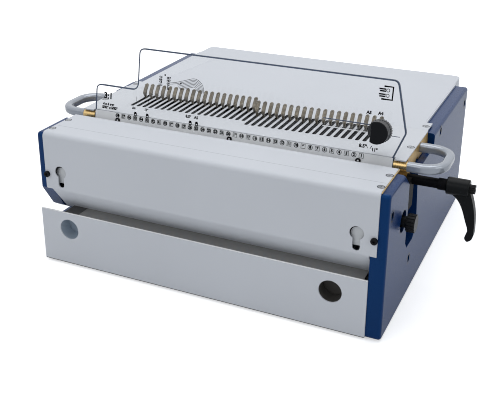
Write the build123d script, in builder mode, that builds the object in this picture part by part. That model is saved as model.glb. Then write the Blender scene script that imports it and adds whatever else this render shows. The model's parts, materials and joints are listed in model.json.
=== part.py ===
from build123d import *
from math import cos, radians, sin, tan
import os

os.makedirs("parts", exist_ok=True)

# The row of square pins, three to the inch, sets the width of the machine
pin_count = 38
pin_pitch = 25.4 / 3
first_pin = 156.63

# Body of the machine: two pan-shaped side frames joined by covers and a floor plate
side_room = 57.37
frame_half = first_pin + side_room
frame_depth = 392.0
frame_height = 168.5
flange = 17.0
frame_sheet = 2.0
frame_round = 3.5
foot_height = 2.0
joint_gap = 0.4
inside = frame_half - flange
corner_screw_x = frame_half - 13.0
corner_screw_z = 117.5
top_screw_x = frame_half - 14.0

# Sheet covers
cover_sheet = 1.6
cover_half = frame_half - 10.0
cover_low_half = inside - 1.0
cover_top = 170.5
cover_rear = 69.0
cover_face_low = 99.5
cover_face = -1.7
rear_cover_top = 171.5
rear_depth = 36.0
rear_reach = frame_depth + rear_depth
keyhole_x = frame_half - 31.8
keyhole_z = (106.4, 122.2)
screw_head = 3.7
screw_shank = 1.7

# Die cassette
pin_side = 4.0
pin_play = 0.05
pin_low = 154.0
stroke = 18.0
stagger_step = 0.4
slot_width = 3.5
slot_length = 51.0
finger_set_back = 34.0
finger_top = 190.0
finger_lift = 4.0
left_slots_start = 121.7
right_slots_start = 117.9
right_slot_count = 19
sheet_top = 172.0
sheet_thick = 1.5
sheet_half = frame_half - 8.0
sheet_front = 87.0
sheet_rear = 190.0
block_half = frame_half - 24.0
end_screw_x = sheet_half - 5.2

# Clear side-stop plate, leaning back with the paper
lean = 10.0
plate_foot = 160.0
plate_face_y = 88.4 + tan(radians(lean)) * (plate_foot - 170.0)
plate_thick = 3.0
dial_x = 175.0
dial_height = 199.5
dial_radius = 13.0
spindle_radius = 3.0

# Drive
shaft_y = 150.0
shaft_z = 104.0
shaft_radius = 10.0
motor_y = 236.0
motor_z = 100.0
motor_radius = 42.0
eccentric_radius = 19.0
eccentric_throw = stroke / 2
running_fit = 0.05
yoke_play = 2.3
yoke_x = 120.0
press_half = inside - 25.0
gear_x = inside - 57.0
nose_y = (136.4, 143.6)
nose_top = 155.1

# Handles, clamp lever and knurled knob
handle_y = (92.0, 154.0)
handle_z = 163.8
handle_length = 34.5
handle_reach = frame_half + handle_length
handle_bar = 10.0
handle_bend = 22.0
lever_y = 100.0
lever_z = 147.0
lever_x = frame_half + 35.0
lever_reach = lever_x + 33.5
knob_y = 61.5
knob_z = 113.5
knob_ribs = 16
knob_radius = 10.25
knob_well = 12.5
knob_span = (frame_half + 4.5, frame_half + 14.0)

# Chip drawer under the trough
drawer_face = -1.5
tray_half = inside - 8.0
finger_hole_x = (-176.0, 157.0)

# The whole part stands centred over the origin, on its feet
middle_x = (lever_reach - handle_reach) / 2
screw_reach = -4.4
middle_y = (rear_reach + screw_reach) / 2
stand = Location((-middle_x, -middle_y, foot_height))

leaning = Plane(
    origin=(0, plate_face_y, plate_foot),
    x_dir=(1, 0, 0),
    z_dir=(0, -cos(radians(lean)), sin(radians(lean))),
)


def keep(piece, name):
    placed = piece.part.moved(stand)
    placed.label = name
    export_step(placed, "parts/" + name + ".step")


def block(x, y, z, mode=Mode.ADD):
    with Locations(((x[0] + x[1]) / 2, (y[0] + y[1]) / 2, (z[0] + z[1]) / 2)):
        Box(x[1] - x[0], y[1] - y[0], z[1] - z[0], mode=mode)


def rod_x(x, y, z, radius, mode=Mode.ADD):
    with Locations(((x[0] + x[1]) / 2, y, z)):
        Cylinder(radius, x[1] - x[0], rotation=(0, 90, 0), mode=mode)


def rod_y(x, y, z, radius, mode=Mode.ADD):
    with Locations((x, (y[0] + y[1]) / 2, z)):
        Cylinder(radius, y[1] - y[0], rotation=(90, 0, 0), mode=mode)


def rod_z(x, y, z, radius, mode=Mode.ADD):
    with Locations((x, y, (z[0] + z[1]) / 2)):
        Cylinder(radius, z[1] - z[0], mode=mode)


def prism_x(points, x, mode=Mode.ADD):
    with BuildSketch(Plane.YZ.offset(x[0])) as profile:
        with BuildLine():
            Polyline(*points, close=True)
        make_face()
    extrude(profile.sketch, amount=x[1] - x[0], mode=mode)


def bent_sheet_x(points, x, radius):
    with BuildSketch(Plane.YZ.offset(x[0])) as profile:
        with BuildLine():
            FilletPolyline(*points, radius=radius)
            offset(amount=cover_sheet, side=Side.LEFT)
        make_face()
    extrude(profile.sketch, amount=x[1] - x[0])


def pin_x(number):
    return first_pin - (number - 1) * pin_pitch


def slot_start(number):
    if number > right_slot_count:
        return left_slots_start + (pin_count - number) * stagger_step
    return right_slots_start + (right_slot_count - number) * stagger_step


# Profile through which the die cassette slides out sideways
die_opening = [
    (57.0, 176.0),
    (57.0, 167.5),
    (78.0, 150.0),
    (80.0, 117.0),
    (80.0, 78.0),
    (88.0, 69.0),
    (112.0, 68.0),
    (124.0, 74.0),
    (126.0, 92.0),
    (118.0, 133.0),
    (116.0, 147.0),
    (120.0, 151.5),
    (186.5, 151.5),
    (191.2, 155.5),
    (191.2, 176.0),
]
# Chip trough: the left frame is cut away beside it
trough_opening = [
    (-6.0, 98.5),
    (1.0, 98.5),
    (21.0, 67.5),
    (34.0, 59.0),
    (60.0, 56.0),
    (60.0, 48.0),
    (-6.0, 48.0),
]
frame_slots = [(12.5, 141.4), (103.3, 48.2), (224.0, 160.5), (375.0, 150.0)]


def rounded_slab(side):
    low = min(side * inside, side * frame_half)
    with BuildPart() as slab:
        block((low, low + flange), (0, frame_depth), (0, frame_height))
        fillet(slab.edges().filter_by(Axis.X), radius=frame_round + 1)
        outer_face = slab.faces().sort_by(Axis.X)[-1 if side > 0 else 0]
        fillet(outer_face.edges(), radius=frame_round)
    return slab


def opening_lining(points, side):
    with BuildPart() as lining:
        with BuildSketch(Plane.YZ.offset(min(side * inside, side * frame_half))) as edge:
            with BuildLine():
                Polyline(*points, close=True)
            make_face()
            offset(amount=frame_sheet)
        extrude(edge.sketch, amount=flange)
        add(rounded_slab(side).part, mode=Mode.INTERSECT)
    return lining


def side_frame(side):
    outer = side * frame_half
    inner = side * (frame_half - flange)
    low = min(inner, outer)
    wall = outer - side * frame_sheet
    with BuildPart() as frame:
        add(rounded_slab(side).part)
        with BuildSketch(Plane.YZ.offset(min(inner, wall))) as hollow:
            with Locations((frame_depth / 2, frame_height / 2)):
                depth = frame_depth - 2 * frame_sheet
                RectangleRounded(depth, frame_height - 2 * frame_sheet, frame_round - 1)
        extrude(hollow.sketch, amount=flange - frame_sheet, mode=Mode.SUBTRACT)
        for y, z in frame_slots:
            with BuildSketch(Plane.YZ.offset(min(wall, outer) - 1)):
                with Locations((y, z)):
                    SlotOverall(11.0, 8.5)
            extrude(amount=frame_sheet + 2, mode=Mode.SUBTRACT)
        add(opening_lining(die_opening, side).part)
        if side < 0:
            add(opening_lining(trough_opening, side).part)
            prism_x(trough_opening, (low - 1, low + flange + 1), Mode.SUBTRACT)
        prism_x(die_opening, (low - 1, low + flange + 1), Mode.SUBTRACT)
        if side > 0:
            rod_x((low, outer - 1), knob_y, knob_z, knob_well + frame_sheet)
            rod_x((low - 1, outer + 1), knob_y, knob_z, knob_well, Mode.SUBTRACT)
        rod_y(side * corner_screw_x, (-1, 3), corner_screw_z, 2.1, Mode.SUBTRACT)
        for y in (14.0, 45.5, 204.0):
            rod_z(side * top_screw_x, y, (frame_height - 3, frame_height + 1), 1.7, Mode.SUBTRACT)
    return frame


def base_plate():
    with BuildPart() as plate:
        half = inside - joint_gap
        block((-half, half), (2.6, frame_depth - 2.6), (0, 2.0))
        block((-half + 0.6, half - 0.6), (frame_depth - 3, rear_reach - 2), (0, 2.0))
        with BuildSketch(Plane.XY.offset(2.0)):
            with GridLocations(120.0, 60.0, 3, 2):
                SlotOverall(40.0, 5.0)
        extrude(amount=-3.0, mode=Mode.SUBTRACT)
    return plate


foot_x = inside - 17.0


def rubber_feet():
    with BuildPart() as feet:
        with Locations((0, frame_depth / 2, -foot_height / 2)):
            with GridLocations(2 * foot_x, frame_depth - 48, 2, 2):
                Cylinder(11.0, foot_height)
    return feet


front_profile = [
    (cover_rear, 160.0),
    (cover_rear, cover_top),
    (cover_face, cover_top),
    (cover_face, cover_face_low),
    (24.5, 65.0),
    (46.0, 59.0),
    (46.0, 66.0),
]
cover_screw_places = [(side * top_screw_x, y) for side in (-1, 1) for y in (14.0, 45.5)]


def front_cover():
    with BuildPart() as cover:
        bent_sheet_x(front_profile, (-cover_half, cover_half), (3.0, 6.0, 6.0, 3.0, 2.0))
        for side in (-1, 1):
            end = sorted((side * cover_low_half, side * (cover_half + 2)))
            block(end, (-3, 70), (50, 98.5), Mode.SUBTRACT)
            block(end, (5, 70), (98, 168.6), Mode.SUBTRACT)
            x = side * keyhole_x
            rod_y(x, (-3, 2), keyhole_z[1], 7.7, Mode.SUBTRACT)
            block((x - 4.1, x + 4.1), (-3, 2), keyhole_z, Mode.SUBTRACT)
            rod_y(x, (-3, 2), keyhole_z[0], 4.1, Mode.SUBTRACT)
            rod_y(side * corner_screw_x, (-3, 2), corner_screw_z, 2.1, Mode.SUBTRACT)
        for x, y in cover_screw_places:
            with Locations((x, y, cover_top - 0.8)):
                Cone(screw_shank + 0.1, screw_head + 0.1, 1.62, mode=Mode.SUBTRACT)
    return cover


def countersunk_screws(places, top, length):
    with BuildPart() as screws:
        with Locations(*[(x, y, top - 0.8) for x, y in places]):
            Cone(screw_shank, screw_head, 1.6)
        with Locations(*[(x, y, top - 1.6 - length / 2) for x, y in places]):
            Cylinder(screw_shank - 0.1, length)
        with Locations(*[(x, y, top - 0.4) for x, y in places]):
            Box(0.8, 4.4, 0.9, mode=Mode.SUBTRACT)
            Box(4.4, 0.8, 0.9, mode=Mode.SUBTRACT)
    return screws


def front_socket_screws():
    with BuildPart() as screws:
        for side in (-1, 1):
            rod_y(side * corner_screw_x, (screw_reach, cover_face - 0.05), corner_screw_z, 3.7)
            rod_y(side * corner_screw_x, (cover_face - 0.1, 8.0), corner_screw_z, 2.0)
            socket = (screw_reach - 1, screw_reach + 1.5)
            rod_y(side * corner_screw_x, socket, corner_screw_z, 1.7, Mode.SUBTRACT)
    return screws


def keyhole_plates():
    with BuildPart() as plates:
        for side in (-1, 1):
            x = side * (keyhole_x - 2.5)
            block((x - 14, x + 14), (2.6, 4.2), (106.5, 140))
            block((x - 14, x + 14), (0.0, 4.2), (136, 140))
    return plates


def rear_cover():
    half = inside - 0.5
    with BuildPart() as cover:
        block((-half, half), (frame_depth + joint_gap, rear_reach), (14, rear_cover_top))
        upright = cover.edges().filter_by(Axis.Z).group_by(Axis.Y)[-1]
        fillet(upright, radius=9.0)
        fillet(cover.faces().sort_by(Axis.Z)[-1].edges().sort_by(Axis.Y)[-3:], radius=1.2)
        front = sheet_rear + 1.5
        under = rear_cover_top - cover_sheet
        block((-half, half), (front, frame_depth + 2), (under, rear_cover_top))
        block((-cover_half - 1, cover_half + 1), (front, front + 25.5), (under, rear_cover_top))
        hollow = (-half + cover_sheet, half - cover_sheet)
        block(hollow, (frame_depth - 2, rear_reach - cover_sheet), (13, under), Mode.SUBTRACT)
        block((-140, 140), (rear_reach - 8, rear_reach + 2), (26, 106), Mode.SUBTRACT)
        with BuildSketch(Plane.XZ.offset(-rear_reach - 2)):
            with Locations((0, 132)):
                with GridLocations(9.0, 0, 20, 1):
                    SlotOverall(24.0, 3.5, rotation=90)
        extrude(amount=6, mode=Mode.SUBTRACT)
        for side in (-1, 1):
            with Locations((side * top_screw_x, 204.0, rear_cover_top - 0.8)):
                Cone(screw_shank + 0.1, screw_head + 0.1, 1.62, mode=Mode.SUBTRACT)
    return cover


panel_y = (rear_reach - cover_sheet - 2.1, rear_reach - cover_sheet - 0.1)
inlet_x = 90.0
switch_x = 40.0
fuse_x = 5.0
socket_x = -50.0


def rear_panel():
    with BuildPart() as panel:
        block((-148, 148), panel_y, (20, 112))
        block((inlet_x - 13.6, inlet_x + 13.6), (rear_reach - 8, rear_reach + 2), (56, 76), Mode.SUBTRACT)
        through = (rear_reach - 8, rear_reach + 2)
        block((switch_x - 10.6, switch_x + 10.6), through, (51.4, 80.6), Mode.SUBTRACT)
        rod_y(fuse_x, (rear_reach - 8, rear_reach + 2), 66.0, 6.6, Mode.SUBTRACT)
        rod_y(socket_x, (rear_reach - 8, rear_reach + 2), 66.0, 8.6, Mode.SUBTRACT)
    return panel


def mains_inlet():
    with BuildPart() as inlet:
        block((inlet_x - 20, inlet_x + 20), (rear_reach - 1.5, rear_reach - 0.1), (54, 78))
        block((inlet_x - 13.5, inlet_x + 13.5), (rear_reach - 26, rear_reach - 1.4), (56.1, 75.9))
        mouth = (rear_reach - 18, rear_reach + 2)
        block((inlet_x - 11.5, inlet_x + 11.5), mouth, (58.1, 73.9), Mode.SUBTRACT)
        for x, z in ((-7, 64.5), (0, 68), (7, 64.5)):
            block((inlet_x + x - 1, inlet_x + x + 1), (rear_reach - 20, rear_reach - 4), (z - 2, z + 2))
    return inlet


def switch_bezel():
    with BuildPart() as bezel:
        block((switch_x - 10.5, switch_x + 10.5), (rear_reach - 24, rear_reach - 1.5), (51.5, 80.5))
        block((switch_x - 9, switch_x + 9), (rear_reach - 22, rear_reach + 2), (53, 79), Mode.SUBTRACT)
        for x in (-9.6, 9.6):
            rod_x((switch_x + x - 1, switch_x + x + 1), rear_reach - 8, 66.0, 1.55, Mode.SUBTRACT)
    return bezel


def rocker_switch():
    with BuildPart() as rocker:
        outline = [(-19, 66), (-14, 77), (-0.2, 77), (-3.2, 66), (-5, 55), (-14, 55)]
        prism_x([(rear_reach + y, z) for y, z in outline], (switch_x - 8.5, switch_x + 8.5))
        rod_x((switch_x - 9.7, switch_x + 9.7), rear_reach - 8, 66.0, 1.5)
    return rocker


def fuse_holder():
    with BuildPart() as holder:
        rod_y(fuse_x, (rear_reach - 30, rear_reach - 1.5), 66.0, 6.5)
        rod_y(fuse_x, (rear_reach - 1.6, rear_reach - 0.1), 66.0, 8.0)
        block((fuse_x - 5, fuse_x + 5), (rear_reach - 0.8, rear_reach + 2), (65.4, 66.6), Mode.SUBTRACT)
    return holder


def foot_switch_socket():
    with BuildPart() as socket:
        rod_y(socket_x, (rear_reach - 20, rear_reach - 1.5), 66.0, 8.5)
        rod_y(socket_x, (rear_reach - 1.6, rear_reach - 0.1), 66.0, 11.0)
        rod_y(socket_x, (rear_reach - 16, rear_reach + 2), 66.0, 6.0, Mode.SUBTRACT)
        rod_y(socket_x, (rear_reach - 18, rear_reach - 6), 66.0, 1.2)
    return socket


def drawer_front():
    with BuildPart() as front:
        block((-frame_half - 1, inside), (drawer_face, -0.1), (1.0, 70.0))
        block((-inside + 1, inside - 1), (-0.2, 2.4), (1.0, 2.6))
        fillet(front.edges().filter_by(Axis.X).group_by(Axis.Y)[0], radius=1.2)
        for x, z in zip(finger_hole_x, (48.0, 47.5)):
            rod_y(x, (-4, 4), z, 13.0, Mode.SUBTRACT)
    return front


def drawer_tray():
    with BuildPart() as tray:
        block((-tray_half, tray_half), (30, 190), (4.2, 45.0))
        block((-tray_half + 1.4, tray_half - 1.4), (31.4, 188.6), (5.6, 46.0), Mode.SUBTRACT)
        block((-tray_half, tray_half), (-0.05, 30.5), (4.2, 5.6))
        block((-tray_half, tray_half), (-0.05, 1.4), (5.5, 30.0))
        for x in finger_hole_x:
            rod_y(x, (-4, 4), 47.8, 13.4, Mode.SUBTRACT)
    return tray


def drawer_runners():
    with BuildPart() as runners:
        for side in (-1, 1):
            x = side * (tray_half - 2.5)
            block((x - 3, x + 3), (12, 192), (2.05, 4.1))
    return runners


def trough_bracket():
    with BuildPart() as bracket:
        block((-inside + 1.5, -inside + 18), (49, 52), (47, 55.8))
        block((-inside + 1.5, -inside + 18), (49, 64), (47, 49))
        rod_y(-inside + 10, (48, 53), 52.5, 1.8, Mode.SUBTRACT)
    return bracket


def chip_chute():
    half = tray_half - 1.0
    with BuildPart() as chute:
        with BuildSketch(Plane.YZ.offset(-half)):
            with BuildLine():
                Polyline((47.0, 82.0), (47.0, 56.0))
                offset(amount=1.2, side=Side.LEFT)
            make_face()
        extrude(amount=2 * half)
        with BuildSketch(Plane.YZ.offset(-half)):
            with BuildLine():
                Polyline((78.4, 56.0), (78.4, 110.0))
                offset(amount=1.2, side=Side.LEFT)
            make_face()
        extrude(amount=2 * half)
        for side in (-1, 1):
            x = side * (half - 0.6)
            block((x - 0.6, x + 0.6), (47.2, 79.4), (56, 82))
    return chute


def die_rails():
    with BuildPart() as rails:
        block((-inside + 0.5, inside - 0.5), (84, 110), (106.0, 113.9))
        for side in (-1, 1):
            x = side * (inside - 3.7)
            block((x - 3.2, x + 3.2), (84, 110), (2.1, 106.5))
    return rails


def shaft_bearings():
    with BuildPart() as bearings:
        for side in (-1, 1):
            x = side * (inside - 16)
            block((x - 8, x + 8), (shaft_y - 24, shaft_y + 24), (74, shaft_z + 22))
            reach = sorted((side * (inside - 9), side * (frame_half - frame_sheet - 0.2)))
            block(reach, (shaft_y - 16, shaft_y + 16), (84, 124))
            rod_x((x - 18, x + 18), shaft_y, shaft_z, shaft_radius + running_fit, Mode.SUBTRACT)
    return bearings


def drive_shaft():
    with BuildPart() as shaft:
        rod_x((-inside + 7, inside - 3), shaft_y, shaft_z, shaft_radius)
        block((inside - 25, inside - 2), (shaft_y - 2, shaft_y + 2), (112.0, 115.0), Mode.SUBTRACT)
    return shaft


def eccentrics():
    with BuildPart() as discs:
        for side in (-1, 1):
            x = side * yoke_x
            rod_x((x - 5, x + 5), shaft_y + eccentric_throw, shaft_z, eccentric_radius)
            rod_x((x - 11, x + 11), shaft_y, shaft_z, 11.9)
            rod_x((x - 12, x + 12), shaft_y, shaft_z, shaft_radius, Mode.SUBTRACT)
    return discs


def press_bar():
    middle = shaft_y + eccentric_throw
    reach_y = eccentric_radius + yoke_play
    reach_z = eccentric_radius + eccentric_throw + 1.0
    with BuildPart() as bar:
        block((-press_half, press_half), (130, 150), (138, 150))
        block((-press_half, press_half), nose_y, (149, nose_top))
        for side in (-1, 1):
            x = side * yoke_x
            outer_y = (middle - reach_y - 9, middle + reach_y + 9)
            block((x - 5, x + 5), outer_y, (shaft_z - reach_z - 8, 142))
            block((x - 6, x + 6), (middle - reach_y, middle + reach_y),
                  (shaft_z - reach_z, shaft_z + reach_z), Mode.SUBTRACT)
            low = shaft_z - reach_z - 14
            block((x - 5, x + 5), outer_y, (low, low + 8))
    return bar


def press_guides():
    foot = shaft_z - eccentric_radius - eccentric_throw - 15.0
    with BuildPart() as guides:
        for side in (-1, 1):
            x = side * yoke_x
            block((x - 12, x + 12), (108, 199.9), (foot - 6, foot - 0.1))
            block((x - 12, x - 5.1), (108, 199.9), (foot - 1, foot + 5))
            block((x + 5.1, x + 12), (108, 199.9), (foot - 1, foot + 5))
            block((x - 12, x + 12), (192, 199.9), (2.1, foot - 5))
    return guides


def gearbox():
    with BuildPart() as housing:
        block((gear_x, gear_x + 31), (shaft_y - 26, 262), (56, shaft_z + 26))
        fillet(housing.edges().filter_by(Axis.X), radius=8.0)
        rod_x((gear_x - 1, gear_x + 32), shaft_y, shaft_z, shaft_radius + running_fit, Mode.SUBTRACT)
        block((gear_x + 4, gear_x + 28), (232, 258), (2.1, 57))
        with Locations(*[(gear_x + 30, y, z) for y in (136, 240) for z in (66, 120)]):
            Cylinder(3.0, 5.0, rotation=(0, 90, 0))
    return housing


def motor():
    with BuildPart() as body:
        rod_x((gear_x - 170, gear_x - 10), motor_y, motor_z, motor_radius)
        rod_x((gear_x - 184, gear_x - 170), motor_y, motor_z, motor_radius - 4)
        rod_x((gear_x - 10, gear_x), motor_y, motor_z, motor_radius - 12)
        block((gear_x - 120, gear_x - 70), (motor_y - 14, motor_y + 14), (140, 158))
    return body


def motor_bracket():
    with BuildPart() as bracket:
        low = gear_x - 150
        high = gear_x - 30
        seat = (motor_y - 36, motor_y + 36)
        block((low, high), seat, (48, 51))
        for x in (low + 2, high - 8):
            block((x, x + 8), seat, (48, 92))
        rod_x((low - 10, high + 10), motor_y, motor_z, motor_radius + 0.1, Mode.SUBTRACT)
        for y in (motor_y - 31, motor_y + 24):
            block((low, high), (y, y + 6), (2.1, 49))
    return bracket


def control_board():
    with BuildPart() as board:
        block((-180, -60), (306, 380), (60, 61.6))
        for x, y in ((-172, 314), (-68, 314), (-172, 372), (-68, 372)):
            rod_z(x, y, (2.05, 60.1), 3.0)
        block((-165, -125), (320, 352), (61.5, 92))
        block((-110, -96), (320, 360), (61.5, 76))
        for x in (-86, -76):
            rod_z(x, 340, (61.5, 84), 4.5)
    return board


# Die cassette


def plate_back_y(z):
    return plate_face_y + (z - plate_foot) * tan(radians(lean)) + plate_thick / cos(radians(lean))


def die_top_plate():
    low = sheet_top - sheet_thick
    with BuildPart() as sheet:
        block((-sheet_half, sheet_half), (sheet_front, sheet_rear), (low, sheet_top))
        recess = (80, plate_back_y(sheet_top) + 0.3)
        block((-block_half - 1.5, block_half + 3.5), recess, (low - 1, sheet_top + 1), Mode.SUBTRACT)
        flange_profile = [
            (plate_back_y(plate_foot) + 0.1, plate_foot),
            (plate_back_y(sheet_top) + 0.1, sheet_top),
            (plate_back_y(sheet_top) + 1.7, sheet_top),
            (plate_back_y(plate_foot) + 1.7, plate_foot),
        ]
        prism_x(flange_profile, (-block_half, block_half))
        centres = []
        for number in range(1, pin_count + 1):
            centres.append((pin_x(number), slot_start(number) + slot_length / 2))
        with BuildSketch(Plane.XY.offset(sheet_top)):
            with Locations(*centres):
                SlotOverall(slot_length, slot_width, rotation=90)
        extrude(amount=-3 * sheet_thick, mode=Mode.SUBTRACT)
        for side in (-1, 1):
            with Locations((side * end_screw_x, 129.0, sheet_top - 0.8)):
                Cone(screw_shank + 0.1, screw_head + 0.1, 1.62, mode=Mode.SUBTRACT)
        for x in plate_screw_x:
            with BuildSketch(leaning.offset(1)):
                with Locations((x, 3.5)):
                    Circle(2.1)
            extrude(amount=-8, mode=Mode.SUBTRACT)
    return sheet


plate_screw_x = (-155.8, -2.2, 153.7)


def end_blocks():
    profile = [
        (97.8, 170.4),
        (sheet_rear, 170.4),
        (sheet_rear, 156.2),
        (186.5, 152.6),
        (nose_y[1] + 2, 152.6),
        (nose_y[1] + 2, nose_top + 0.5),
        (nose_y[0] - 2, nose_top + 0.5),
        (nose_y[0] - 2, 152.6),
        (109.5, 152.6),
        (109.5, 114.1),
        (83.0, 114.1),
        (83.0, 150.0),
        (97.8, 150.0),
    ]
    with BuildPart() as blocks:
        for side in (-1, 1):
            x = sorted((side * (sheet_half - 10), side * sheet_half))
            prism_x(profile, x)
            rod_z(side * end_screw_x, 129.0, (160, 171), 1.65, Mode.SUBTRACT)
            rod_x((x[0] - 1, x[1] + 1), handle_y[1], handle_z, 3.05, Mode.SUBTRACT)
        rod_x((sheet_half - 11, sheet_half + 1), lever_y, lever_z, 4.05, Mode.SUBTRACT)
    return blocks


def end_spacers():
    with BuildPart() as spacers:
        for x in ((-sheet_half - 1, -block_half - 0.3), (block_half + 2.5, sheet_half + 1)):
            rod_x(x, handle_y[0], handle_z, 5.6)
    return spacers


def guide_block():
    profile = [
        (86.0, 151.0),
        (109.0, 151.0),
        (109.0, 166.0),
        (94.0, 166.0),
        (94.0, 159.4),
        (86.0, 159.4),
    ]
    hole = pin_side + 2 * pin_play
    with BuildPart() as guide:
        prism_x(profile, (-block_half, block_half))
        with BuildSketch(Plane.XZ.offset(-112)):
            with Locations(*[(pin_x(n), pin_low + pin_side / 2) for n in range(1, pin_count + 1)]):
                Rectangle(hole, hole)
        extrude(amount=30, mode=Mode.SUBTRACT)
    return guide


def matrix_plate():
    hole = pin_side + 2 * pin_play
    with BuildPart() as matrix:
        prism_x([(82.6, 151.0), (82.6, 162.0), (69.5, 162.0), (79.2, 151.0)], (-block_half, block_half))
        with BuildSketch(Plane.XZ.offset(-84)):
            with Locations(*[(pin_x(n), pin_low + pin_side / 2) for n in range(1, pin_count + 1)]):
                Rectangle(hole, hole)
        extrude(amount=20, mode=Mode.SUBTRACT)
    return matrix


def die_base():
    with BuildPart() as base:
        half = sheet_half - 10.1
        block((-half, half), (80.2, 109.0), (145.0, 150.95))
        block((-half, half), (90.0, 104.0), (114.1, 145.5))
        rod_x((half - 8, half + 1), lever_y, lever_z, 4.05, Mode.SUBTRACT)
    return base


def handles():
    with BuildPart() as grips:
        for side in (-1, 1):
            bend = handle_reach - handle_bar / 2
            with BuildLine(Plane.XY.offset(handle_z)) as route:
                FilletPolyline(
                    (side * (sheet_half + 1.1), handle_y[0]),
                    (side * bend, handle_y[0]),
                    (side * bend, handle_y[1]),
                    (side * (sheet_half + 0.1), handle_y[1]),
                    radius=handle_bend,
                )
            start = Plane(origin=route.line @ 0, x_dir=(0, 1, 0), z_dir=route.line % 0)
            with BuildSketch(start):
                RectangleRounded(handle_bar, handle_bar + 0.5, 3.6)
            sweep(path=route.line)
            tail = sorted((side * (sheet_half - 9.5), side * (sheet_half + 0.3)))
            rod_x(tail, handle_y[1], handle_z, 3.0)
    return grips


def clear_plate():
    rise = cos(radians(lean))
    outline = [
        (-block_half + 0.5, 0.0),
        (-block_half + 0.5, (205.0 - plate_foot) / rise),
        (-130.0, (205.0 - plate_foot) / rise),
        (-130.0, (255.0 - plate_foot) / rise),
        (block_half - 1.5, (255.0 - plate_foot) / rise),
        (block_half + 13, (200.0 - plate_foot) / rise),
        (block_half + 2, (172.0 - plate_foot) / rise),
        (block_half + 2, 0.0),
    ]
    with BuildPart() as plate:
        with BuildSketch(leaning):
            with BuildLine():
                Polyline(*outline, close=True)
            make_face()
        extrude(amount=-plate_thick)
        across = Axis((0, 0, 0), tuple(leaning.z_dir))
        fillet(plate.edges().filter_by(across).sort_by(Axis.Z)[-6:], radius=8.0)
        with BuildSketch(leaning.offset(1)):
            with Locations(*[(x, 3.5) for x in plate_screw_x]):
                Circle(2.1)
            with Locations((dial_x, (dial_height - plate_foot) / rise)):
                Circle(spindle_radius + running_fit)
        extrude(amount=-6, mode=Mode.SUBTRACT)
    return plate


def stop_rail():
    rise = cos(radians(lean))
    low = (dial_height - 5.5 - plate_foot) / rise
    with BuildPart() as rail:
        with BuildSketch(leaning.offset(-plate_thick - 0.1)):
            with Locations(((107.0 + 196.0) / 2, low + 5.1)):
                Rectangle(196.0 - 107.0, 10.2)
            with Locations((dial_x, (dial_height - plate_foot) / rise)):
                Circle(spindle_radius + running_fit, mode=Mode.SUBTRACT)
        extrude(amount=-6.0)
        with BuildSketch(leaning.offset(-plate_thick - 0.1)):
            with Locations((102.6, low + 9.2)):
                Rectangle(9.4, 2.0)
        extrude(amount=-2.0)
    return rail


def plate_screws():
    with BuildPart() as screws:
        with BuildSketch(leaning.offset(1.8)):
            with Locations(*[(x, 3.5) for x in plate_screw_x]):
                Circle(3.0)
        extrude(amount=-1.75)
        with BuildSketch(leaning.offset(1.8)):
            with Locations(*[(x, 3.5) for x in plate_screw_x]):
                RegularPolygon(1.3, 6)
        extrude(amount=-1.0, mode=Mode.SUBTRACT)
        with BuildSketch(leaning.offset(0.1)):
            with Locations(*[(x, 3.5) for x in plate_screw_x]):
                Circle(2.0)
        extrude(amount=-6.0)
    return screws


def side_stop_dial():
    rise = cos(radians(lean))
    place = (dial_x, (dial_height - plate_foot) / rise)
    with BuildPart() as dial:
        with BuildSketch(leaning.offset(0.4)):
            with Locations(place):
                Circle(dial_radius)
        extrude(amount=14.0)
        for turn, flat, depth in ((180, 11.0, 16.0), (90, 12.2, 12.0), (270, 9.8, 12.0)):
            with BuildSketch(leaning.offset(-1)):
                with Locations(Location(place) * Location((0, 0, 0), (0, 0, turn))):
                    with Locations((flat + 5, 0)):
                        Rectangle(10, 30)
            extrude(amount=depth, mode=Mode.SUBTRACT)
        with BuildSketch(leaning.offset(15)):
            with Locations(place):
                with PolarLocations(dial_radius + 0.4, 14, start_angle=-65, angular_range=130):
                    Circle(1.1)
        extrude(amount=-5.0, mode=Mode.SUBTRACT)
        with BuildSketch(leaning.offset(-1)):
            with Locations(place):
                Circle(spindle_radius)
        extrude(amount=9.0, mode=Mode.SUBTRACT)
    return dial


def dial_spindle():
    rise = cos(radians(lean))
    place = (dial_x, (dial_height - plate_foot) / rise)
    with BuildPart() as spindle:
        with BuildSketch(leaning.offset(7.9)):
            with Locations(place):
                Circle(spindle_radius)
        extrude(amount=-19.0)
        with BuildSketch(leaning.offset(-9.4)):
            with Locations(place):
                Circle(5.0)
        extrude(amount=-1.6)
    return spindle


def punch_pins():
    numbers = range(1, pin_count + 1)
    half = pin_side / 2
    tip_back = 86.6 - right_slots_start
    tail_back = finger_set_back + 8.0
    row_half = pin_x(1) + pin_side
    with BuildPart() as pins:
        middle = (tip_back + tail_back) / 2
        with Locations(*[(pin_x(n), slot_start(n) + middle, pin_low + half) for n in numbers]):
            Box(pin_side, tail_back - tip_back, pin_side)
        with Locations(*[(pin_x(n), 140.0, pin_low - 0.85) for n in numbers]):
            Box(pin_side, 18.0, 1.9)
        block((-row_half, row_half), (136.1, 143.9), (150.0, 155.5), Mode.SUBTRACT)
        hook = finger_set_back + 1.8
        with Locations(*[(pin_x(n), slot_start(n) + hook, pin_low + pin_side) for n in numbers]):
            Box(2.5, 3.8, 4.4, mode=Mode.SUBTRACT)
    return pins


finger_thick = 2.4
finger_line = [
    (0.0, 165.0),
    (0.0, 173.0),
    (-1.6, 178.0),
    (1.2, 184.0),
    (4.0, 188.0),
    (4.4, finger_top),
]


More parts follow.
